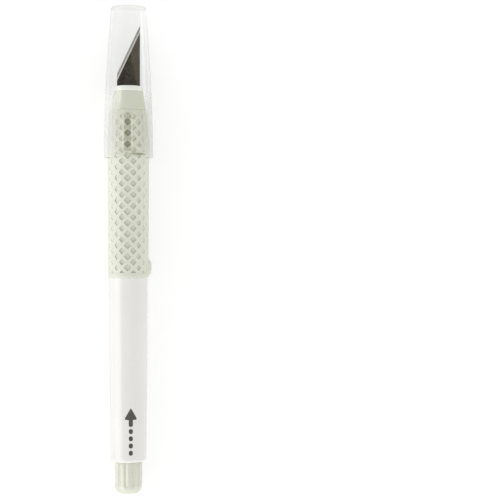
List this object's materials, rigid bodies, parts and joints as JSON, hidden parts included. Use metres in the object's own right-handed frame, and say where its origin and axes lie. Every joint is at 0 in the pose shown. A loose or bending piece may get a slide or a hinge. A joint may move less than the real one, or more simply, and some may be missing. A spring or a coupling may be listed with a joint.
{
  "type": "craft knife",
  "caption": "Pen-style craft knife with a pointed blade, a soft diamond-pattern grip, a clear push-on cap and a rear knob that works a draw collet to release the blade.",
  "frame": {"origin": "on the knife's axis, in the middle of the 15 mm straight stretch of barrel just behind the grip, which is where a holder clamps the knife", "axes": "+X along the axis towards the blade's tip, +Z square to the flat of the blade, +Y towards the cutting edge; the knife lies on its side on a surface below it in -Z"},
  "size_m": [0.1359, 0.0138, 0.0138],
  "materials": {
    "barrel_plastic": "glossy white moulded plastic",
    "grip_rubber": "soft pale sage elastomer, satin",
    "nose_plastic": "pale sage moulded plastic, semi-gloss",
    "knob_plastic": "pale sage moulded plastic, semi-gloss",
    "holder_plastic": "off-white moulded plastic",
    "clear_plastic": "clear polished polystyrene",
    "blade_steel": "ground carbon steel with a bright bevel",
    "steel": "turned steel",
    "spring_steel": "drawn spring wire",
    "brass": "turned brass",
    "bush_plastic": "light grey acetal",
    "washer_plastic": "white nylon",
    "ring_rubber": "black nitrile"
  },
  "bodies": {
    "handle": {"barrel": "barrel_plastic", "grip_sleeve": "grip_rubber", "nose_cone": "nose_plastic", "closing_sleeve": "steel", "front_spring_seat": "steel", "return_spring": "spring_steel", "guide_bush": "bush_plastic", "end_bush": "bush_plastic", "thrust_washer": "washer_plastic"},
    "cap": {"cap": "clear_plastic"},
    "knob": {"knob": "knob_plastic", "knob_nut": "brass", "retaining_clip": "spring_steel", "friction_ring": "ring_rubber"},
    "draw_rod": {"draw_rod": "steel", "collet": "brass", "lock_nut": "brass", "key_pin": "steel", "rear_spring_seat": "steel"},
    "cartridge": {"blade": "blade_steel", "blade_holder": "holder_plastic"}
  },
  "joints": [
    {"name": "cap_pull", "type": "slide", "parent": "handle", "child": "cap", "axis": [1, 0, 0], "range_m": [0, 0.045]},
    {"name": "knob_turn", "type": "hinge", "parent": "handle", "child": "knob", "pos_m": [-0.049, 0, 0], "axis": [-1, 0, 0], "range_deg": [0, 720]},
    {"name": "rod_slide", "type": "slide", "parent": "handle", "child": "draw_rod", "axis": [1, 0, 0], "range_m": [0, 0.002], "deforming": ["return_spring"]},
    {"name": "blade_slide", "type": "slide", "parent": "draw_rod", "child": "cartridge", "axis": [1, 0, 0], "range_m": [0, 0.002]}
  ],
  "couplings": [
    {"joint": "knob_turn", "follows": "rod_slide", "rad_per_m": 6283.2}
  ]
}
